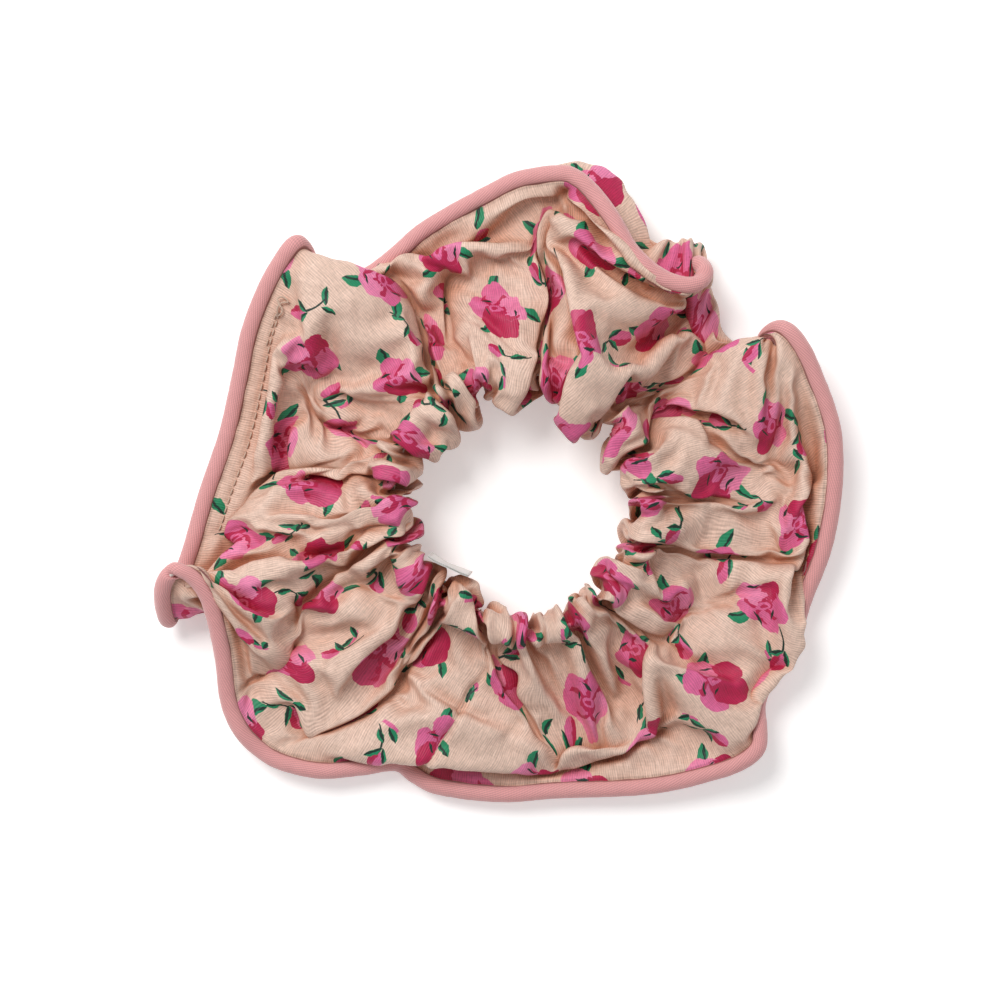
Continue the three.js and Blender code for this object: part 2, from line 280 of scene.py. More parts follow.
class Cloth:
    """The cover's smooth surface: u runs along the strip, and v across it, from the inner fold out.

    v is 0 at the inner fold, PANEL_WIDTH at the front panel's edge, and minus that at the back one's.
    """

    def __init__(self, grid):
        self.rows, self.columns = grid.shape[0] - 1, grid.shape[1]
        # the spline passes inside its control points, so they are moved out until it comes near the grid
        control = grid
        for _ in range(SHARPENING):
            control = control + grid - self.passed(control)
        self.control = self.padded(control)

    def padded(self, control):
        return np.concatenate([2 * control[:1] - control[1:2], control, 2 * control[-1:] - control[-2:-1]])

    def passed(self, control):
        """Where the spline passes for each control point."""
        rows = self.padded(control)
        rows = (rows[:-2] + 4 * rows[1:-1] + rows[2:]) / 6
        return (np.roll(rows, 1, axis=1) + 4 * rows + np.roll(rows, -1, axis=1)) / 6

    def at(self, u, v):
        x = np.asarray(u, float) / STRIP_LENGTH * self.columns
        y = np.clip((np.asarray(v, float) / PANEL_WIDTH + 1) / 2, 0, 1) * self.rows
        column = np.floor(x).astype(int)
        row = np.minimum(np.floor(y).astype(int), self.rows - 1)
        across, along = spline_weights(y - row), spline_weights(x - column)
        place = 0
        for j in range(4):
            for i in range(4):
                weight = across[j] * along[i]
                place = place + weight[..., None] * self.control[row + j, (column + i - 1) % self.columns]
        return place

    def outwards(self, u, v):
        """The surface's normal, out of the tube."""
        step = 0.4
        ahead, behind = np.minimum(v + step, PANEL_WIDTH), np.maximum(v - step, -PANEL_WIDTH)
        across = self.at(u, ahead) - self.at(u, behind)
        along = self.at(u + step, v) - self.at(u - step, v)
        return unit(np.cross(across, along))


# ---------------------------------------------------------------- the cloth simulation

SCALE = 20 * MM  # the simulation works at 20 times the size, where Blender's cloth is steady
GATHERED_BY = 46  # frames
PRESSED_BY = 54
SETTLED_BY = 64

# The inner fold's gathers: each crest's direction from the hole's middle, in degrees, and its radius
CRESTS = [
    (1, 21.0), (14, 19.2), (28, 18.4), (49, 17.4), (70, 19.4), (95, 15.8), (121, 16.2), (143, 16.6),
    (160, 21.0), (177, 20.2), (192, 20.4), (205, 21.6), (221, 19.0), (243, 17.0), (262, 20.6), (280, 22.0),
    (297, 22.4), (318, 20.2), (333, 21.8), (346, 22.2),
]
# Between two crests the cloth lies round the elastic: the radius there, and the height from its middle
VALLEY = [(24.6, -4.2), (23.4, -2.2), (23.2, 0), (23.4, 2.2), (24.6, 4.2)]
BAND_ROOM = 0.6  # left round the elastic
OPEN_RADIUS = STRIP_LENGTH / (2 * np.pi)  # the tube's radius before it is gathered


def standing_tube(angle, rng):
    """A wide tube of cloth that stands on its inner fold, with its front panel on the inside."""
    places = np.zeros((SIM_ROWS + 1, SIM_COLUMNS, 3))
    for j in range(SIM_ROWS + 1):
        v = j * ROW_SPACING - PANEL_WIDTH
        share = abs(v) / PANEL_WIDTH
        side = 1 if v > 0 else -1
        radius = OPEN_RADIUS - side * 6 * np.sin(np.pi * share)
        radius = radius + 0.3 * rng.uniform(-1, 1, SIM_COLUMNS)
        places[j, :, 0] = CENTRE[0] + radius * np.cos(angle)
        places[j, :, 1] = CENTRE[1] + radius * np.sin(angle)
        places[j, :, 2] = ELASTIC_HEIGHT + abs(v)
    return places


def hold_edges(end, held, edge, inwards, up):
    """Both edges and the rows next to them lie along the piping, and so do two rows more where the
    closing stitches hold the panels together."""
    closed = in_closing(np.arange(SIM_COLUMNS) * STRIP_LENGTH / SIM_COLUMNS)
    for row, side in ((0, -1), (SIM_ROWS, 1)):
        end[row] = edge + 0.3 * side * up
        end[row - side] = edge + ROW_SPACING * inwards + 0.5 * side * up
        held[row] = held[row - side] = True
        for step, height in ((2, 0.4), (3, 0.7)):
            places = edge + step * ROW_SPACING * inwards + height * side * up
            end[row - step * side, closed] = places[closed]
            held[row - step * side, closed] = True


def hold_gathers(end, held, ring_angle, rng):
    """The gathers' crests reach into the hole, and their valleys lie on the elastic."""

    def hold(turn, step, radius, height):
        row = SIM_ROWS // 2 + step
        column = np.argmin(np.abs(np.angle(np.exp(1j * (ring_angle - turn)))))
        out = [radius * math.cos(turn), radius * math.sin(turn), ELASTIC_HEIGHT + height]
        end[row, column] = CENTRE + out
        held[row, column] = True

    directions = np.radians([direction for direction, _ in CRESTS])
    for turn, (_, radius) in zip(directions, CRESTS):
        hold(turn, 0, radius, 0.4 * (22 - radius) + rng.uniform(-1, 1))
    for turn, following in zip(directions, np.roll(directions, -1)):
        middle = turn + np.angle(np.exp(1j * (following - turn))) / 2
        for step, (radius, height) in enumerate(VALLEY, -(len(VALLEY) // 2)):
            hold(middle, step, radius, height)


def hold_swellings(end, held):
    """Every other point of a row follows each swelling's line."""
    for side, first, last, points in SWELLINGS:
        line = through(points, 8)
        depth = round(SWELLING_DEPTHS[side] / ROW_SPACING)
        row = depth if side < 0 else SIM_ROWS - depth
        begin, finish = (
            round(route.nearest(*place) / STRIP_LENGTH * SIM_COLUMNS) for place in (first, last)
        )
        for i in range(begin, finish + 1, 2):
            share = (i - begin) / (finish - begin) * (len(line) - 1)
            end[row, i] = line[round(share)]
            held[row, i] = True


def pinned_places():
    """Start and end places of the cloth's points, and which of them the end places hold."""
    rng = np.random.default_rng(SEED)
    edge, _, inwards, up = route.frames(SIM_COLUMNS)

    # each column's place on the elastic: its angle at the piping, evened out
    from_centre = edge - CENTRE
    angle = np.unwrap(np.arctan2(from_centre[:, 1], from_centre[:, 0]))
    u = np.arange(SIM_COLUMNS) * STRIP_LENGTH / SIM_COLUMNS
    even = angle[0] + 2 * np.pi * u / STRIP_LENGTH
    ring_angle = even + smoothed(angle - even, STRIP_LENGTH / SIM_COLUMNS, 18.0)

    start = standing_tube(even, rng)
    end = start.copy()
    held = np.zeros(start.shape[:2], bool)
    hold_edges(end, held, edge, inwards, up)
    hold_gathers(end, held, ring_angle, rng)
    hold_swellings(end, held)
    return start, end, held


def sim_object(name, vertices, faces):
    mesh = bpy.data.meshes.new(name)
    mesh.from_pydata([tuple(v) for v in np.asarray(vertices).reshape(-1, 3) * SCALE], [], faces)
    mesh.update()
    thing = bpy.data.objects.new(name, mesh)
    bpy.context.collection.objects.link(thing)
    return thing


def make_solid(thing, reach, friction):
    thing.modifiers.new("Collision", "COLLISION")
    thing.collision.thickness_outer = reach
    thing.collision.cloth_friction = friction


def make_rods():
    """The rods that press the creases: they wait above the cloth, and come down as it is gathered."""
    vertices, faces = [], []
    for crease in CREASES:
        line = through(crease, 4)
        along = unit(np.gradient(line, axis=0))
        beside = unit(np.cross(along, [0.0, 0.0, 1.0]))
        points, quads = tube(line, [CREASE_RADIUS] * len(line), beside, np.cross(beside, along), 6)
        faces += renumbered(quads, len(vertices))
        vertices += points
    rods = sim_object("rods", vertices, faces)
    make_solid(rods, 0.008, 1)
    rods.collision.thickness_inner = 0.02
    raised = 30 * SCALE
    for at, height in ((1, raised), (30, raised), (PRESSED_BY, 0)):
        rods.location.z = height
        rods.keyframe_insert("location", index=2, frame=at)
    return rods


def make_band():
    """A plain elastic in the tube, which it keeps open. It shrinks as the cloth is gathered."""
    steps = 96
    half, reach = ELASTIC_THICKNESS / 2 + BAND_ROOM, ELASTIC_WIDTH / 2 + BAND_ROOM
    section = [(half, -0.8 * reach), (half, 0.8 * reach), (0, reach),
               (-half, 0.8 * reach), (-half, -0.8 * reach), (0, -reach)]

    def ring(radius, height):
        places = []
        for out, up in section:
            for turn in np.arange(steps) * 2 * math.pi / steps:
                x = CENTRE[0] + (radius + out) * math.cos(turn)
                y = CENTRE[1] + (radius + out) * math.sin(turn)
                places.append((x, y, height + up))
        return places

    wide = ring(OPEN_RADIUS, ELASTIC_HEIGHT + 8)
    band = sim_object("band", wide, faces_of_grid(len(section), steps, wrap_rows=True))
    band.shape_key_add(name="open")
    shut = band.shape_key_add(name="shut")
    shut.data.foreach_set("co", (np.array(ring(ELASTIC_RADIUS, ELASTIC_HEIGHT)) * SCALE).ravel())
    for at, value in ((1, 0), (GATHERED_BY, 1)):
        shut.value = value
        shut.keyframe_insert("value", frame=at)
    make_solid(band, 0.008, 1)
    band.collision.thickness_inner = 0.01
    return band


def simulate(start, end, held):
    """Gathers the tube of cloth, and returns where its points come to lie."""
    cloth = sim_object("cloth", start, faces_of_grid(*start.shape[:2]))
    cloth.shape_key_add(name="start")
    gathered = cloth.shape_key_add(name="gathered")
    gathered.data.foreach_set("co", (end * SCALE).ravel())
    gathered.value = 0
    gathered.keyframe_insert("value", frame=1)
    gathered.value = 1
    gathered.keyframe_insert("value", frame=GATHERED_BY)
    pins = cloth.vertex_groups.new(name="pins")
    pins.add([int(k) for k in np.nonzero(held.ravel())[0]], 1.0, "REPLACE")

    table = sim_object("table", square(200), [(0, 1, 2, 3)])
    make_solid(table, 0.01, 2)
    helpers = [table, make_rods(), make_band()]

    modifier = cloth.modifiers.new("Cloth", "CLOTH")
    settings = modifier.settings
    settings.quality = 6
    settings.mass = 0.15
    settings.air_damping = 2
    settings.tension_stiffness = settings.compression_stiffness = 15
    settings.shear_stiffness = 5
    settings.bending_stiffness = 3
    settings.vertex_group_mass = "pins"
    settings.effector_weights.gravity = 0.2
    settings.use_pressure = True
    settings.uniform_pressure_force = 2
    contact = modifier.collision_settings
    contact.collision_quality = 3
    contact.distance_min = 0.012
    contact.use_self_collision = True
    contact.self_distance_min = 0.016
    contact.self_friction = 5
    modifier.point_cache.frame_start = 1
    modifier.point_cache.frame_end = SETTLED_BY
    for at in range(1, SETTLED_BY + 1):
        bpy.context.scene.frame_set(at)

    settled = cloth.evaluated_get(bpy.context.evaluated_depsgraph_get()).to_mesh()
    places = np.zeros(3 * start.shape[0] * start.shape[1])
    settled.vertices.foreach_get("co", places)
    for helper in (cloth, *helpers):
        bpy.data.objects.remove(helper)
    bpy.context.scene.frame_set(1)
    return places.reshape(start.shape) / SCALE


# ---------------------------------------------------------------- pieces


def add_piece(name, places, faces, corner_uvs, material):
    """A smooth mesh. Its "cloth" map gives each face corner's place on the flat cloth or thread, in mm."""
    mesh = bpy.data.meshes.new(name)
    mesh.from_pydata([tuple(p) for p in np.asarray(places).reshape(-1, 3) * MM], [], faces)
    flat = mesh.uv_layers.new(name="cloth")
    flat.data.foreach_set("uv", np.asarray(corner_uvs, np.float32).ravel())
    mesh.materials.append(material)
    mesh.polygons.foreach_set("use_smooth", [True] * len(mesh.polygons))
    mesh.update()
    piece = bpy.data.objects.new(name, mesh)
    bpy.context.scene.collection.objects.link(piece)
    return piece


def corner_maps(us, vs):
    """Places of the face corners of a grid, in turn, from the places of its lines."""
    low_u, low_v = np.meshgrid(us[:-1], vs[:-1])
    high_u, high_v = np.meshgrid(us[1:], vs[1:])
    corners = [(low_u, low_v), (high_u, low_v), (high_u, high_v), (low_u, high_v)]
    return np.stack([np.stack(corner, axis=-1) for corner in corners], axis=2).reshape(-1, 2)


def rough(u, v, size, seed):
    """Even noise over the cloth, from -1 to 1, that joins up where the strip's length ends."""
    turn = 2 * np.pi * u / STRIP_LENGTH
    radius = STRIP_LENGTH / (2 * np.pi)
    places = np.stack([radius * np.cos(turn), radius * np.sin(turn), v + 100 * seed], axis=-1) / size
    flat = places.reshape(-1, 3)
    return np.array([noise.noise(Vector(p)) for p in flat]).reshape(u.shape)


def bump(distance, width):
    return np.exp(-((distance / width) ** 2))


class Threads:
    """Collects many short threads, each a round tube with rounded ends, into one piece."""

    def __init__(self):
        self.places, self.faces, self.maps = [], [], []

    def add(self, line, radius, sides=8):
        line = np.array(line, float)
        along = unit(np.gradient(line, axis=0))
        beside = unit(np.cross(along, along[0] + [0.31, 0.47, 0.83]))
        above = np.cross(along, beside)
        distance = np.concatenate([[0], np.cumsum(np.linalg.norm(np.diff(line, axis=0), axis=1))])
        to_end = np.minimum(distance, distance[-1] - distance)
        girth = radius * np.sqrt(np.clip(1 - (1 - to_end / radius) ** 2, 0.12, 1) * (to_end < radius)
                                 + (to_end >= radius))
        points, faces = tube(line, girth, beside, above, sides)
        self.faces += renumbered(faces, len(self.places))
        self.places += points
        around = 2 * math.pi * radius / sides * np.arange(sides + 1)
        self.maps += [(x, y) for y, x in corner_maps(around, distance)]
        self.maps += [(0, 0)] * (2 * sides)

    def make(self, name, material):
        return add_piece(name, self.places, self.faces, self.maps, material)


def arc_between(a, b, out, height, steps=7):
    """A stitch from a to b, which bows out by its height and dips into the cloth at both ends."""
    share = np.linspace(0, 1, steps)[:, None]
    return a * (1 - share) + b * share + out * (height * np.sin(np.pi * share) - 0.6 * height)


def make_cover(cloth, material):
    """The cover: the cloth's surface with the fine creases that sewing and gathering leave."""
    columns, rows = SIM_COLUMNS * FINE, SIM_ROWS * FINE
    us = np.arange(columns + 1) * STRIP_LENGTH / columns
    vs = np.linspace(-PANEL_WIDTH, PANEL_WIDTH, rows + 1)
    u, v = np.meshgrid(us[:-1], vs)
    from_seam = PANEL_WIDTH - np.abs(v)

    gathers = 0.20 * bump(v, 15) * rough(u, v * 0.25, 2.2, 1)
    crumple = 0.12 * rough(u, v * 0.6, 4.5, 2) + 0.04 * rough(u, v, 1.9, 3)
    puckers = 0.3 * bump(from_seam - 2.2, 2.2) * rough(u, v * 0.3, 2.6, 4)
    seam_join = -0.7 * (bump(u, 0.6) + bump(u - STRIP_LENGTH, 0.6)) + 0.25 * bump(u - 1.8, 1.2)
    rise = gathers + crumple + puckers + seam_join * (from_seam > 2)
    closing = in_closing(us[:-1] + SEAM_START)[None, :]
    rise += closing * -0.3 * bump(from_seam - CLOSING_DEPTH, 0.45)
    rise *= np.clip(from_seam / 1.5, 0, 1)

    places = cloth.at(u + SEAM_START, v) + cloth.outwards(u + SEAM_START, v) * rise[..., None]
    places[..., 2] = np.maximum(places[..., 2], 0.15)
    cover = add_piece("cover", places, faces_of_grid(rows + 1, columns), corner_maps(us, vs), material)
    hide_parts("cover_left", "cover_right")
    return cover


def make_piping(cloth, material):
    """The bias tape, folded round its cord, with both its edges in the seam between the panels."""
    columns = 1100
    flange = [0.1, 0.8, 1.5, 2.2]
    us = np.arange(columns + 1) * STRIP_LENGTH / columns
    u = us[:-1]
    places, _, inwards, up = route.frames(columns)
    turns = np.radians(np.linspace(22, 338, 27))
    rings = []
    for turn in turns:
        around = PIPING_RADIUS * turn * np.ones_like(u)
        wrinkle = 0.05 * rough(u, around * 0.8, 1.6, 5) + 0.04 * rough(u, around * 0.3, 5, 6)
        radius = (PIPING_RADIUS + wrinkle)[:, None]
        rings.append(places + radius * (math.cos(turn) * inwards + math.sin(turn) * up))
    for side in (-1, 1):
        depths = flange if side < 0 else flange[::-1]
        for depth in depths:
            depth = depth + PIPING_RADIUS
            front = cloth.at(u, np.full_like(u, PANEL_WIDTH - depth))
            back = cloth.at(u, np.full_like(u, depth - PANEL_WIDTH))
            across = front - back
            room = np.linalg.norm(across, axis=1, keepdims=True)
            rings.append((front + back) / 2 + side * np.minimum(0.12, 0.2 * room) * unit(across))
    around = PIPING_RADIUS * turns
    around = np.concatenate([around, around[-1] + np.array(flange + flange[::-1])])
    around = np.append(around, around[-1] + 1)
    faces = faces_of_grid(len(rings), columns, wrap_rows=True)
    piping = add_piece("piping_tape", rings, faces, corner_maps(us, around), material)
    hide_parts("piping_tape_left", "piping_tape_right")
    return piping


def make_filler_cord(material):
    """The piping's cord, of three strands twisted together."""
    columns, strands, sides = 900, 3, 24
    us = np.arange(columns + 1) * STRIP_LENGTH / columns
    places, _, inwards, up = route.frames(columns)
    twist = 2 * np.pi * round(STRIP_LENGTH / 5) * us[:-1] / STRIP_LENGTH
    rings = []
    for k in range(sides):
        turn = 2 * np.pi * k / sides
        lobes = 0.12 * np.abs(np.sin(strands * (turn - twist) / 2))
        radius = (FILLER_RADIUS - 0.12 + lobes)[:, None]
        rings.append(places + radius * (math.cos(turn) * inwards + math.sin(turn) * up))
    around = np.arange(sides + 1) * 2 * np.pi * FILLER_RADIUS / sides
    faces = faces_of_grid(sides, columns, wrap_rows=True)
    cord = add_piece("piping_cord", rings, faces, corner_maps(us, around), material)
    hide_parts("piping_cord_left", "piping_cord_right")
    return cord


class ElasticPath:
    """Where the elastic lies in the tube: it shifts and rolls up a little where the gathers grip it."""

    def __init__(self, cloth):
        u, v = np.meshgrid(np.arange(0, STRIP_LENGTH, 0.5), np.arange(0.25, 16, 0.25))
        limits = []
        for side, closest, open_air in ((1, np.min, 30), (-1, np.max, 0)):
            x, y, z = np.moveaxis(cloth.at(u, side * v) - CENTRE, -1, 0)
            near = np.abs(np.hypot(x, y) - ELASTIC_RADIUS) < 1.0
            turn, height = np.degrees(np.arctan2(y, x))[near], z[near]
            limit = []
            for degree in range(360):
                beside = np.abs((turn - degree + 180) % 360 - 180) < 3
                limit.append(closest(height[beside], initial=open_air))
            limits.append(smoothed(np.array(limit), 1, 1.5) - side * 0.5)
        top, bottom = limits
        self.half = np.clip((top - bottom) / 2, 0.6, ELASTIC_WIDTH / 2)
        self.middle = np.minimum(np.maximum(ELASTIC_HEIGHT, bottom + self.half), top - self.half)

    def at(self, turns, across, out):
        """Places from the turn round the ring, the height across the band, and how far out of its middle."""
        degrees = np.degrees(turns)
        half = np.interp(degrees, np.arange(360), self.half, period=360)
        middle = np.interp(degrees, np.arange(360), self.middle, period=360)
        x = CENTRE[0] + (ELASTIC_RADIUS + out) * np.cos(turns)
        y = CENTRE[1] + (ELASTIC_RADIUS + out) * np.sin(turns)
        return np.stack(np.broadcast_arrays(x, y, middle + across * half / (ELASTIC_WIDTH / 2)), axis=-1)


def make_elastic(path, material):
    """The elastic: a braided band with ribs, whose two ends overlap where they are sewn together."""
    columns, ribs = 720, 8
    width, half = ELASTIC_WIDTH, ELASTIC_THICKNESS / 4  # two layers lie on each other at the overlap
    overlap = ELASTIC_OVERLAP / ELASTIC_RADIUS
    turns = ELASTIC_JOIN_TURN + np.linspace(-overlap / 2, 2 * np.pi + overlap / 2, columns)
    share = np.linspace(0, 1, columns)
    drift = half * np.clip((0.5 - share) / 0.5, -1, 1)  # from the outer layer to the inner one
    section = []
    steps = 5 * ribs
    for side in (1, -1):
        for k in range(steps + 1):
            place = side * (0.5 - k / steps)
            edge = math.sqrt(max(0.0, 1 - (2 * abs(place)) ** 8))
            groove = 0.8 + 0.2 * abs(math.sin(math.pi * ribs * place))
            section.append((place * width, side * half * 0.95 * edge * groove))
    rings = [path.at(turns, across, drift + out) for across, out in section]
    count = len(rings)
    around = np.linspace(0, 2 * width, count + 1)
    us = turns * ELASTIC_RADIUS
    faces = faces_of_grid(count, columns, wrap_rows=True, wrap_columns=False)
    maps = [*corner_maps(us, around)]
    for column, step in ((0, 1), (columns - 1, -1)):
        faces.append(tuple(j * columns + column for j in range(count))[::step])
        maps += [(us[column], y) for y in around[:-1]]
    elastic = add_piece("elastic_band", rings, faces, maps, material)
    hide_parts("elastic_left", "elastic_right")
    return elastic


def make_elastic_join(path, material):
    """Three zigzag bars of thread, which hold the elastic's overlapping ends together."""
    threads = Threads()
    reach = 0.4 * ELASTIC_WIDTH
    for bar in (-1, 0, 1):
        middle = ELASTIC_JOIN_TURN + bar * 0.35 * ELASTIC_OVERLAP / ELASTIC_RADIUS
        for out in (ELASTIC_THICKNESS / 2, -ELASTIC_THICKNESS / 2):
            points = []
            for k in range(13):
                turn = middle + (0.9 if k % 2 else -0.9) / 2 / ELASTIC_RADIUS
                points.append(path.at(turn, reach * (k / 6 - 1), out))
            threads.add(through(points, 4), THREAD_RADIUS)
    join = threads.make("elastic_join", material)
    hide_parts("elastic_join_thread")
    return join


def stitches_on_cloth(threads, cloth, places, height):
    """Running stitches on the cloth's surface, from each place (u, v) to the next but for a small gap."""
    places = np.array(places, float)
    starts, ends = places[:-1], places[1:]
    gap = 0.12
    a = starts + gap * (ends - starts)
    b = ends - gap * (ends - starts)
    from_places, to_places = cloth.at(a[:, 0], a[:, 1]), cloth.at(b[:, 0], b[:, 1])
    out = cloth.outwards(*((a + b) / 2).T)
    for start, end, away in zip(from_places, to_places, out):
        threads.add(arc_between(start, end, away, height), THREAD_RADIUS)


def make_piping_stitches(cloth, material):
    """The seam that holds the piping, between the panels and so nearly out of sight."""
    threads = Threads()
    pitch = 2.5
    count = round(STRIP_LENGTH / pitch)
    depth = 2.25
    marks = np.arange(count + 1) * STRIP_LENGTH / count
    front, back = (cloth.at(marks, np.full_like(marks, side * (PANEL_WIDTH - depth))) for side in (1, -1))
    middle = (front + back) / 2
    out = unit(front - back)
    for i in range(count):
        a = middle[i] * 0.92 + middle[i + 1] * 0.08
        b = middle[i] * 0.08 + middle[i + 1] * 0.92
        threads.add(arc_between(a, b, out[i], 0.2), THREAD_RADIUS * 0.9, sides=6)
    seam = threads.make("piping_seam", material)
    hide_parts("piping_seam_thread_left", "piping_seam_thread_right")
    return seam


def make_closing_stitches(cloth, material):
    """The top stitches that close the gap the cover was turned through, and their thread's loose loop."""
    threads = Threads()
    first, last = route.nearest(*CLOSING_TOP), route.nearest(*CLOSING_BOTTOM)
    pitch = 1.9
    count = round((last - first) / pitch)
    marks = np.linspace(first, last, count + 1)
    for side in (1, -1):
        depth = side * (PANEL_WIDTH - CLOSING_DEPTH)
        stitches_on_cloth(threads, cloth, [(u, depth) for u in marks], 0.28)

    # back-tacking at the top end, and the loop of thread that was left there
    depth = PANEL_WIDTH - CLOSING_DEPTH
    doubled = marks[:5]
    stitches_on_cloth(threads, cloth, [(u + 0.5, depth + 0.55) for u in doubled], 0.3)
    loop = [
        (1.2, 0.2, 0.1), (0.2, 0.1, 0.4), (-0.9, 0.4, 0.6), (-2.0, 0.1, 0.7), (-2.7, -0.7, 0.6),
        (-2.9, 0.5, 0.8), (-2.2, 1.0, 1.1), (-1.5, 0.3, 1.0), (-1.0, -0.5, 0.8), (-0.4, -0.7, 0.7),
        (0.3, -0.4, 0.4), (0.9, 0.1, 0.1),
    ]
    points = []
    for along, across, height in loop:
        u, v = np.array([first + along]), np.array([depth + across])
        points.append(cloth.at(u, v)[0] + height * cloth.outwards(u, v)[0])
    threads.add(through(points, 6), THREAD_RADIUS)
    closing = threads.make("closing_stitches", material)
    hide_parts("closing_stitch")
    return closing


def make_end_seam(cloth, material):
    """The stitches that join the strip's two ends, on the inside of the cover."""
    threads = Threads()
    reach = PANEL_WIDTH - 4
    marks = np.arange(-reach, reach, 2.2)
    inside = -0.75
    a = cloth.at(np.full_like(marks, SEAM_START), marks)
    out = cloth.outwards(np.full_like(marks, SEAM_START), marks)
    for i in range(len(marks) - 1):
        start = a[i] * 0.9 + a[i + 1] * 0.1
        end = a[i] * 0.1 + a[i + 1] * 0.9
        threads.add(arc_between(start, end, -out[i], 0.2) + inside * out[i], THREAD_RADIUS * 0.9, sides=6)
    seam = threads.make("end_seam", material)
    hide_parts("end_seam_thread")
    return seam


def place_on_fold(cloth, beside, towards_hole):
    """How far in the label hangs, and how much it slants. Each half of its width lies against the part of
    the inner fold that comes nearest to the hole's middle."""
    u, v = np.meshgrid(np.arange(0, STRIP_LENGTH, 0.2), np.linspace(-4, 4, 9))
    fold = (cloth.at(u, v) - CENTRE) * [1, 1, 0]
    aside, inwards = fold @ beside, fold @ towards_hole
    touched = []
    for half in (-1, 1):
        behind = (np.abs(aside - half * LABEL_WIDTH / 3) < LABEL_WIDTH / 6) & (inwards < 0)
        nearest = np.argmax(np.where(behind, inwards, -np.inf))
        touched.append((aside.flat[nearest], inwards.flat[nearest]))
    (a, from_a), (b, from_b) = touched
    slant = (from_b - from_a) / (b - a)
    return from_a - a * slant + 0.6, slant


def make_label(cloth, material):
    """A blank ribbon label, folded in two. It hangs inside the hole, sewn to the inner fold by its top."""
    low, high = (np.array(corner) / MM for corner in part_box("care_label"))
    towards_hole = unit((CENTRE - (low + high) / 2) * [1, 1, 0])
    beside = np.cross([0, 0, 1], towards_hole)
    inwards, slant = place_on_fold(cloth, beside, towards_hole)
    middle = CENTRE + inwards * towards_hole

    # the ribbon's line, as seen from its edge: down the outer leaf, round the fold and up the inner one
    top, bottom = high[2], low[2]
    profile = through([
        (-0.5, top), (-0.3, top - 2), (-0.28, top - 6), (-0.42, bottom + 1.4), (-0.3, bottom + 0.5),
        (0.05, bottom + 0.2), (0.4, bottom + 0.6), (0.42, bottom + 1.6), (0.12, top - 6), (0.1, top - 2),
        (-0.2, top - 0.3),
    ], 5)
    along = unit(np.gradient(profile, axis=0))
    away = np.stack([-along[:, 1], along[:, 0]], axis=1) * LABEL_THICKNESS / 2
    across = np.linspace(-LABEL_WIDTH / 2, LABEL_WIDTH / 2, 33)
    curl = 0.35 * (2 * across / LABEL_WIDTH) ** 2
    rings = []
    for side in (profile + away, (profile - away)[::-1]):
        for out, height in side:
            wave = 0.08 * np.sin(across * 1.1 + height * 0.5)
            ring = middle * [1, 1, 0] + np.outer(across, beside)
            ring += np.outer(out + curl + wave + slant * across, towards_hole)
            ring[:, 2] += height
            rings.append(ring)
    count, columns = len(rings), len(across)
    step = 0.36
    faces = faces_of_grid(count, columns, wrap_rows=True, wrap_columns=False)
    maps = [*corner_maps(across, step * np.arange(count + 1))]
    # the ribbon's two edges
    for i in (0, columns - 1):
        for j in range(count // 2 - 1):
            a, b = j * columns + i, (j + 1) * columns + i
            c, d = (count - 2 - j) * columns + i, (count - 1 - j) * columns + i
            faces.append((a, b, c, d) if i == 0 else (d, c, b, a))
            maps += [(across[i], step * j)] * 4
    label = add_piece("care_label_ribbon", rings, faces, maps, material)
    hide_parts("care_label")
    return label


# ---------------------------------------------------------------- materials


class Wire:
    """One output in a material's node tree, which sums treat like a number."""

    def __init__(self, tree, socket):
        self.tree, self.socket = tree, socket

    def maths(self, operation, *others, clamp=False):
        return reckon(self.tree, operation, self, *others, clamp=clamp)

    def __add__(self, other):
        return self.maths("ADD", other)

    def __sub__(self, other):
        return self.maths("SUBTRACT", other)

    def __rsub__(self, other):
        return reckon(self.tree, "SUBTRACT", other, self)

    def __mul__(self, other):
        return self.maths("MULTIPLY", other)

    def __truediv__(self, other):
        return self.maths("DIVIDE", other)

    __radd__, __rmul__ = __add__, __mul__


def reckon(tree, operation, *values, clamp=False):
    node = tree.nodes.new("ShaderNodeMath")
    node.operation = operation
    node.use_clamp = clamp
    for socket, value in zip(node.inputs, values):
        plug(tree, value, socket)
    return Wire(tree, node.outputs[0])


def plug(tree, value, socket):
    """Feeds a node's input from a wire, or sets it to a plain value."""
    if isinstance(value, Wire):
        tree.links.new(value.socket, socket)
    else:
        socket.default_value = value


def add_node(tree, kind, output, inputs, **settings):
    """A node with its settings and inputs, given as the wire of the named output."""
    node = tree.nodes.new("ShaderNode" + kind)
    for key, value in settings.items():
        setattr(node, key, value)
    for name, value in inputs.items():
        plug(tree, value, node.inputs[name])
    return Wire(tree, node.outputs[output])


def vector(tree, x, y, z=0.0):
    return add_node(tree, "CombineXYZ", "Vector", {"X": x, "Y": y, "Z": z})


def parts_of(tree, wire):
    node = tree.nodes.new("ShaderNodeSeparateXYZ")
    plug(tree, wire, node.inputs[0])
    return [Wire(tree, output) for output in node.outputs]


def grain(tree, x, y, z=0.0, detail=2.0):
    """Noise from 0 to 1 over a place."""
    inputs = {"Vector": vector(tree, x, y, z), "Scale": 1.0, "Detail": detail, "Roughness": 0.55}
    return add_node(tree, "TexNoise", "Fac", inputs)


def inside(distance, softness=0.1):
    """1 where a distance inside an edge is above 0, and 0 outside it, with a narrow blur."""
    return (distance / softness).maths("ADD", 0.5, clamp=True)


def near_line(distance, width):
    """1 at a line and 0 away from it."""
    return (1.0 - (distance / width).maths("ABSOLUTE")).maths("MAXIMUM", 0.0)


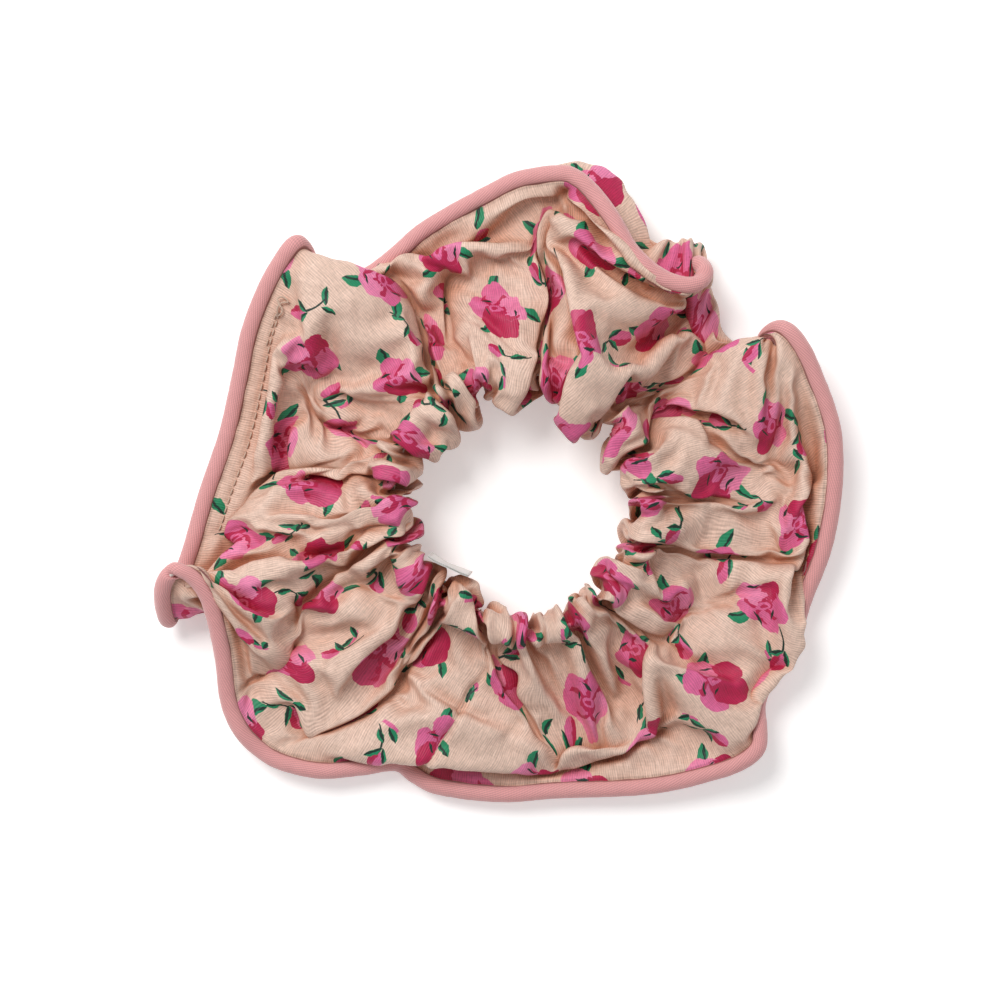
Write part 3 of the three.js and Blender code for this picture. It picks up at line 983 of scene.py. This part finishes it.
def blend_colours(tree, share, first, second, blend="MIX"):
    node = tree.nodes.new("ShaderNodeMix")
    node.data_type = "RGBA"
    node.blend_type = blend
    colour_inputs = [socket for socket in node.inputs if socket.type == "RGBA"]
    plug(tree, share, node.inputs["Factor"])
    for socket, colour in zip(colour_inputs, (first, second)):
        plug(tree, colour if isinstance(colour, Wire) else (*colour, 1.0), socket)
    return Wire(tree, next(socket for socket in node.outputs if socket.type == "RGBA"))


def new_material(name):
    """An empty material: its node tree, its shader node, and its place on the flat cloth in mm."""
    material = bpy.data.materials.new(name)
    material.use_nodes = True
    tree = material.node_tree
    shader = tree.nodes["Principled BSDF"]
    place = add_node(tree, "UVMap", "UV", {}, uv_map="cloth")
    x, y, _ = parts_of(tree, place)
    return material, tree, shader, x, y


def add_relief(tree, shader, height, depth):
    """Turns a height from 0 to 1 into bumps this deep, in mm."""
    node = tree.nodes.new("ShaderNodeBump")
    node.inputs["Strength"].default_value = 1.0
    node.inputs["Distance"].default_value = depth * MM
    plug(tree, height, node.inputs["Height"])
    tree.links.new(node.outputs["Normal"], shader.inputs["Normal"])


# Colours of the print, the trims, and the painted shade in deep folds
CREAM = (0.66, 0.465, 0.375)
CREAM_THIN = (0.74, 0.54, 0.45)
ROSE_PINK = (0.66, 0.125, 0.29)
ROSE_LIGHT = (0.74, 0.21, 0.38)
CRIMSON = (0.45, 0.012, 0.075)
LEAF_GREEN = (0.010, 0.23, 0.105)
DEEP_GREEN = (0.003, 0.026, 0.017)
PIPING_PINK = (0.68, 0.315, 0.315)
COTTON_WHITE = (0.82, 0.80, 0.75)
# the colour of the painted shade in deep folds
PAINTED_FOLD_SHADE = (0.82, 0.50, 0.36)


def scattered(tree, x, y, seed):
    """Lays out motifs on staggered rows. Gives the place from the nearest motif's middle, in mm, turned its
    own way, and three random numbers of its own."""
    wide, tall = REPEAT
    row = (y / tall + seed * 7.31).maths("FLOOR")
    shifted = x / wide + row * 0.5 + seed * 3.17
    column = shifted.maths("FLOOR")
    chance = tree.nodes.new("ShaderNodeTexWhiteNoise")
    chance.noise_dimensions = "3D"
    plug(tree, vector(tree, column, row, float(seed)), chance.inputs["Vector"])
    a, b, c = parts_of(tree, Wire(tree, chance.outputs["Color"]))
    from_x = (shifted - column - 0.5) * wide - (a - 0.5) * 3.5
    from_y = (y / tall + seed * 7.31 - row - 0.5) * tall - (b - 0.5) * 3.0
    turned = add_node(tree, "VectorRotate", "Vector", {
        "Vector": vector(tree, from_x, from_y), "Angle": c * 6.283,
    }, rotation_type="Z_AXIS")
    u, v, _ = parts_of(tree, turned)
    return u, v, a, b, c


def leaf(x, y, at, turn, length, width, waver):
    """How far inside a pointed leaf a place is, and how far from the leaf's middle line."""
    cos, sin = math.cos(turn), math.sin(turn)
    from_x, from_y = x - at[0], y - at[1]
    along = from_x * cos + from_y * sin
    across = from_y * cos - from_x * sin
    bent = across - along * along * 0.06 + waver * 0.7
    half_width = width * (1.0 - (along / length).maths("POWER", 2.0))
    return half_width - bent.maths("ABSOLUTE"), bent


def add_leaves(tree, colour, x, y, leaves, waver):
    """Paints leaves, each green with a dark brush stroke along one side."""
    for at, turn, length, width, present in leaves:
        depth, bent = leaf(x, y, at, turn, length, width, waver)
        mask = inside(depth) * present
        stroke = inside(0.28 - (bent - 0.35 * width).maths("ABSOLUTE")) * mask
        colour = blend_colours(tree, mask, colour, LEAF_GREEN)
        colour = blend_colours(tree, stroke, colour, DEEP_GREEN)
    return colour


# A rose's petals in painting order: direction, and distance and radius as shares of the rose's size
PETALS = [(0.3, 0.56, 0.50), (2.9, 0.58, 0.47), (5.2, 0.56, 0.48), (1.55, 0.50, 0.54), (4.1, 0.48, 0.55)]


def add_roses(tree, colour, x, y):
    """Paints the large roses: round petals over each other, with crimson strokes where they meet."""
    x, y, a, b, c = scattered(tree, x, y, 1)
    waver = grain(tree, x * 0.9, y * 0.9, a * 40, 1.0) - 0.5
    size = 4.9 + a * 1.9
    spots = [
        ((6.3, 1.6), 0.5, 2.6, 1.25, 1.0),
        ((-2.4, 5.8), 2.3, 2.4, 1.15, b.maths("GREATER_THAN", 0.35)),
        ((-3.6, -5.2), 4.4, 2.3, 1.0, c.maths("GREATER_THAN", 0.5)),
    ]
    colour = add_leaves(tree, colour, x, y, spots, waver)

    # the hand-painted wobble of every outline
    x = x + (grain(tree, x * 0.28, y * 0.28, b * 30, 0.5) - 0.5) * 2.8
    y = y * (0.85 + b * 0.4) + (grain(tree, x * 0.28, y * 0.28, c * 30, 0.5) - 0.5) * 2.8
    out = (x * x + y * y).maths("SQRT")
    for count, (turn, distance, radius) in enumerate(PETALS):
        from_x, from_y = x - size * (distance * math.cos(turn)), y - size * (distance * math.sin(turn))
        depth = size * radius - (from_x * from_x + from_y * from_y).maths("SQRT") + waver * 0.6
        petal = inside(depth)
        brush = 0.70 + waver * 2.4
        inner_rim = inside(brush - (depth - 0.15).maths("ABSOLUTE")) * inside(size * 0.75 - out)
        pink = ROSE_LIGHT if count % 2 else ROSE_PINK
        if count in (1, 4):
            pink = blend_colours(tree, inside((c if count == 1 else b) - 0.38), pink, CRIMSON)
        colour = blend_colours(tree, petal, colour, pink)
        colour = blend_colours(tree, petal * inner_rim, colour, CRIMSON)
    heart = inside(size * 0.30 - out + waver * 2.2)
    from_fold = ((x - 0.5) * (x - 0.5) + y * y).maths("SQRT") - 0.9
    fold = inside(0.32 + waver - from_fold.maths("ABSOLUTE"))
    colour = blend_colours(tree, heart, colour, CRIMSON)
    colour = blend_colours(tree, heart * fold, colour, ROSE_PINK)
    for at, turn, length in (((3.4, -1.2), 1.9, 1.5), ((-1.6, 3.7), 0.5, 1.3), ((0.6, -2.3), 2.7, 1.1)):
        dash, _ = leaf(x, y, at, turn, length, 0.3, waver)
        colour = blend_colours(tree, inside(dash), colour, DEEP_GREEN)
    return colour


def add_buds(tree, colour, x, y, seed):
    """Paints small buds: a drop of pink with a crimson side, two sepals and a thin bent stem."""
    x, y, a, b, _ = scattered(tree, x, y, seed)
    waver = grain(tree, x * 0.9, y * 0.9, b * 40, 2.0) - 0.5
    stem = 0.22 + waver * 0.3 - (y - x * x * 0.12 - 0.3).maths("ABSOLUTE")
    stem = inside(stem) * inside(3.4 - (x + 1.4).maths("ABSOLUTE"))
    colour = blend_colours(tree, stem, colour, DEEP_GREEN)
    pointed = [
        ((0.4, 1.25), 0.75, 1.9, 0.62, 1.0),
        ((0.2, -1.0), -0.55, 1.8, 0.55, a.maths("GREATER_THAN", 0.3)),
        ((-3.0, 1.7), 2.2, 1.5, 0.7, b.maths("GREATER_THAN", 0.4)),
    ]
    from_x = x - 1.9
    drop = 1.0 - (from_x / (1.9 + a * 0.8)).maths("POWER", 2.0) - (y / (1.15 + b * 0.7)).maths("POWER", 2.0)
    bud = inside(drop + waver * 0.8, 0.12)
    colour = blend_colours(tree, bud, colour, ROSE_PINK)
    side = bud * inside(y - 0.25 + waver * 1.2, 0.12)
    colour = blend_colours(tree, side, colour, CRIMSON)
    return add_leaves(tree, colour, x, y, pointed, waver)


def add_sprigs(tree, colour, x, y, seed):
    """Paints loose leaf sprigs with a sliver of pink."""
    x, y, a, b, c = scattered(tree, x, y, seed)
    waver = grain(tree, x * 0.9, y * 0.9, c * 40, 2.0) - 0.5
    sliver = 0.42 + waver * 0.5 - (y + 0.5 - x * x * 0.1).maths("ABSOLUTE")
    sliver = inside(sliver) * inside(1.9 - x.maths("ABSOLUTE"))
    colour = blend_colours(tree, sliver * a.maths("GREATER_THAN", 0.25), colour, ROSE_PINK)
    pointed = [
        ((1.5, 0.7), 0.45, 1.9, 0.75, 1.0),
        ((-1.4, 0.3), 2.5, 1.7, 0.65, b.maths("GREATER_THAN", 0.25)),
    ]
    return add_leaves(tree, colour, x, y, pointed, waver)


def painted_fold_shade(tree, colour):
    """Painted shade: where ambient occlusion finds a deep fold, the colour is darkened and warmed towards an
    orange-brown, which stands in for the shade and warm bounced light there.
    """
    openness = add_node(tree, "AmbientOcclusion", "AO", {"Distance": 9 * MM}, samples=6)
    openness = openness.maths("MULTIPLY_ADD", 1.5, -0.42, clamp=True)
    painted_shade_tint = blend_colours(tree, openness, PAINTED_FOLD_SHADE, (1.0, 1.0, 1.0))
    return blend_colours(tree, 1.0, colour, painted_shade_tint, "MULTIPLY")


def printed_fabric():
    """Cream crepe satin, printed with roses, buds and sprigs."""
    material, tree, shader, x, y = new_material("printed_fabric")

    # yarns of uneven thickness, both ways, and the crepe's fine ribs, which run across the strip
    across = grain(tree, x * 3.2, y * 0.5, 0.0, 2.0)
    along = grain(tree, x * 0.5, y * 3.2, 5.0, 2.0)
    wandering = grain(tree, x * 0.5, y * 0.3, 13.0, 1.0)
    ribs = ((x * (2 * math.pi / RIB_PITCH) + wandering * 9.0).maths("SINE") + 1.0) * 0.5
    cloudy = grain(tree, x * 0.08, y * 0.08, 9.0, 2.0)

    colour = blend_colours(tree, across.maths("MULTIPLY_ADD", 1.6, -0.3, clamp=True), CREAM, CREAM_THIN)
    colour = add_sprigs(tree, colour, x + 6.2, y + 9.6, 2)
    colour = add_buds(tree, colour, x + 12.5, y, 3)
    colour = add_roses(tree, colour, x, y)

    # painted shade: a thin dark line beside the piping, for the shadow where the cloth meets it
    seam = near_line(PANEL_WIDTH - 1.9 - y.maths("ABSOLUTE"), 0.35)
    tone = 0.32 + across * 0.60 + along * 0.40 + ribs * 0.22 + cloudy * 0.10 - seam * 0.25
    shaded = add_node(tree, "HueSaturation", "Color", {"Color": colour, "Value": tone, "Saturation": 1.0})
    # the base colour gets painted shade, darker and warmer in deep folds
    plug(tree, painted_fold_shade(tree, shaded), shader.inputs["Base Color"])
    plug(tree, 0.40 + across * 0.16 + along * 0.10, shader.inputs["Roughness"])
    shader.inputs["Specular IOR Level"].default_value = 0.4
    shader.inputs["Sheen Weight"].default_value = 0.08
    shader.inputs["Sheen Roughness"].default_value = 0.4
    add_relief(tree, shader, across * 0.4 + along * 0.25 + ribs * 0.35, 0.12)
    return material


def piping_satin():
    """Pink bias tape: its twill lines run aslant along the piping."""
    material, tree, shader, x, y = new_material("piping")
    uneven = grain(tree, x * 0.35, y * 0.35, 0.0, 2.0)
    aslant = y * 0.94 + x * 0.34 + uneven * 0.25
    twill = ((aslant * 2 * math.pi / 0.42).maths("SINE") + 1.0) * 0.5
    yarns = ((x * 2 * math.pi / 0.31).maths("SINE") + 1.0) * 0.5
    fuzz = grain(tree, x * 3.0, y * 3.0, 2.0, 3.0)
    colour = blend_colours(tree, twill * 0.6 + yarns * 0.4, tuple(0.76 * c for c in PIPING_PINK),
                           tuple(min(1.0, 1.18 * c) for c in PIPING_PINK))
    tone = 0.9 + uneven * 0.12 + fuzz * 0.08
    worn = add_node(tree, "HueSaturation", "Color", {"Color": colour, "Value": tone})
    # painted shade: the tape's colour is darkened where it turns in between the panels, for the shadow in
    # the seam
    around = math.pi * PIPING_RADIUS
    painted_seam_shadow = inside((y - around).maths("ABSOLUTE") - (around - 0.85), 0.3)
    plug(tree, blend_colours(tree, painted_seam_shadow, worn, (0.26, 0.075, 0.06)), shader.inputs["Base Color"])
    plug(tree, 0.5 + fuzz * 0.2, shader.inputs["Roughness"])
    shader.inputs["Specular IOR Level"].default_value = 0.35
    shader.inputs["Sheen Weight"].default_value = 0.35
    add_relief(tree, shader, twill * 0.7 + yarns * 0.3, 0.07)
    return material


def spun_thread(name, colour, pitch):
    """Twisted yarn: fine lines that wind round the thread."""
    material, tree, shader, x, y = new_material(name)
    plies = (((x + y * 1.2) * (2 * math.pi / pitch)).maths("SINE") + 1.0) * 0.5
    fuzz = grain(tree, x * 5.0, y * 5.0, 1.0, 3.0)
    dark = tuple(0.72 * c for c in colour)
    plug(tree, blend_colours(tree, plies * 0.75 + fuzz * 0.25, dark, colour), shader.inputs["Base Color"])
    plug(tree, 0.55 + fuzz * 0.25, shader.inputs["Roughness"])
    shader.inputs["Sheen Weight"].default_value = 0.3
    add_relief(tree, shader, plies, 0.05)
    return material


def braided_elastic():
    """White braid over rubber: chevrons of fine yarn, and slightly yellowed along the ribs."""
    material, tree, shader, x, y = new_material("elastic")
    rib = 2 * math.pi * 8 / (2 * ELASTIC_WIDTH)
    zigzag = (y * rib).maths("SINE").maths("ABSOLUTE")
    yarns = (((x + zigzag * 0.5) * (2 * math.pi / 0.7)).maths("SINE") + 1.0) * 0.5
    fuzz = grain(tree, x * 4.0, y * 4.0, 1.0, 3.0)
    plug(tree, blend_colours(tree, yarns * 0.6 + fuzz * 0.4, (0.62, 0.59, 0.52), COTTON_WHITE),
         shader.inputs["Base Color"])
    plug(tree, 0.65 + fuzz * 0.2, shader.inputs["Roughness"])
    add_relief(tree, shader, yarns * 0.6 + zigzag * 0.4, 0.12)
    return material


def label_satin():
    """White satin ribbon, blank, with a woven selvedge along both edges."""
    material, tree, shader, x, y = new_material("label")
    weft = ((y * 2 * math.pi / 0.16).maths("SINE") + 1.0) * 0.5
    selvedge = inside(x.maths("ABSOLUTE") - (LABEL_WIDTH / 2 - 0.5), 0.2)
    cloudy = grain(tree, x * 1.5, y * 0.4, 3.0, 3.0)
    colour = blend_colours(tree, selvedge * 0.5 + cloudy * 0.3, (0.86, 0.85, 0.82), (0.72, 0.71, 0.68))
    plug(tree, colour, shader.inputs["Base Color"])
    plug(tree, 0.32 + cloudy * 0.15 + selvedge * 0.2, shader.inputs["Roughness"])
    add_relief(tree, shader, weft * 0.6 + selvedge * 0.4, 0.04)
    return material


# ---------------------------------------------------------------- the scene


def add_light(name, place, size, power, colour=(1, 1, 1)):
    light = bpy.data.lights.new(name, "AREA")
    light.shape = "DISK"
    light.size = size
    light.energy = power
    light.color = colour
    lamp = bpy.data.objects.new(name, light)
    lamp.location = place
    aim = Vector(CENTRE * MM) - lamp.location
    lamp.rotation_euler = aim.to_track_quat("-Z", "Y").to_euler()
    bpy.context.scene.collection.objects.link(lamp)


def studio_floor():
    """A pale paper floor that glows a little, as on a light table, so the shadows on it are faint."""
    mesh = bpy.data.meshes.new("floor")
    mesh.from_pydata(square(3.0), [], [(0, 1, 2, 3)])
    floor = bpy.data.objects.new("floor", mesh)
    floor.location.z = -0.0002
    bpy.context.scene.collection.objects.link(floor)
    paper = bpy.data.materials.new("paper")
    paper.use_nodes = True
    tree = paper.node_tree
    shader = tree.nodes["Principled BSDF"]
    place = add_node(tree, "TexCoord", "Object", {})
    fibre = add_node(tree, "TexNoise", "Fac", {"Vector": place, "Scale": 900.0, "Detail": 3.0})
    colour = blend_colours(tree, fibre, (0.93, 0.93, 0.93), (0.96, 0.96, 0.96))
    plug(tree, colour, shader.inputs["Base Color"])
    shader.inputs["Roughness"].default_value = 0.9
    shader.inputs["Emission Color"].default_value = (1.0, 1.0, 1.0, 1.0)
    shader.inputs["Emission Strength"].default_value = 0.28
    mesh.materials.append(paper)


def set_stage():
    """Soft light from above and the upper left on white paper, and a camera that looks straight down."""
    scene = bpy.context.scene
    studio_floor()
    world = bpy.data.worlds.new("studio")
    world.use_nodes = True
    background = world.node_tree.nodes["Background"]
    background.inputs["Color"].default_value = (1.0, 1.0, 1.0, 1.0)
    background.inputs["Strength"].default_value = 0.40
    scene.world = world
    add_light("key", (-0.35, 0.45, 0.75), 0.5, 7.2, (1.0, 0.985, 0.965))
    add_light("fill", (0.6, -0.3, 0.8), 0.9, 1.0)
    scene.view_settings.view_transform = "Standard"
    scene.view_settings.look = "None"

    camera = bpy.data.cameras.new("camera")
    camera.lens = 100
    camera.sensor_width = 36
    distance = VIEW_WIDTH * MM * camera.lens / camera.sensor_width
    camera.clip_start, camera.clip_end = 0.01, 10
    viewer = bpy.data.objects.new("camera", camera)
    viewer.location = (VIEW_MIDDLE[0] * MM, VIEW_MIDDLE[1] * MM, distance + VIEW_HEIGHT * MM)
    scene.collection.objects.link(viewer)
    scene.camera = viewer


def build():
    """Makes the cover, and every piece on and in it."""
    start, end, held = pinned_places()
    grid = simulate(start, end, held)
    cloth = Cloth(grid)
    cream_thread = spun_thread("cream_thread", (0.68, 0.49, 0.38), 0.35)
    pink_thread = spun_thread("pink_thread", (0.50, 0.13, 0.14), 0.35)
    white_thread = spun_thread("white_thread", COTTON_WHITE, 0.35)

    cover = make_cover(cloth, printed_fabric())
    trims = [
        make_piping(cloth, piping_satin()),
        make_piping_stitches(cloth, pink_thread),
        make_closing_stitches(cloth, cream_thread),
        make_end_seam(cloth, cream_thread),
        make_label(cloth, label_satin()),
    ]
    elastic_path = ElasticPath(cloth)
    inner = [
        make_filler_cord(spun_thread("filler_cord", COTTON_WHITE, 1.6)),
        make_elastic(elastic_path, braided_elastic()),
        make_elastic_join(elastic_path, white_thread),
    ]
    for piece in [cover, *trims, *inner]:
        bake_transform(piece)


build()
set_stage()
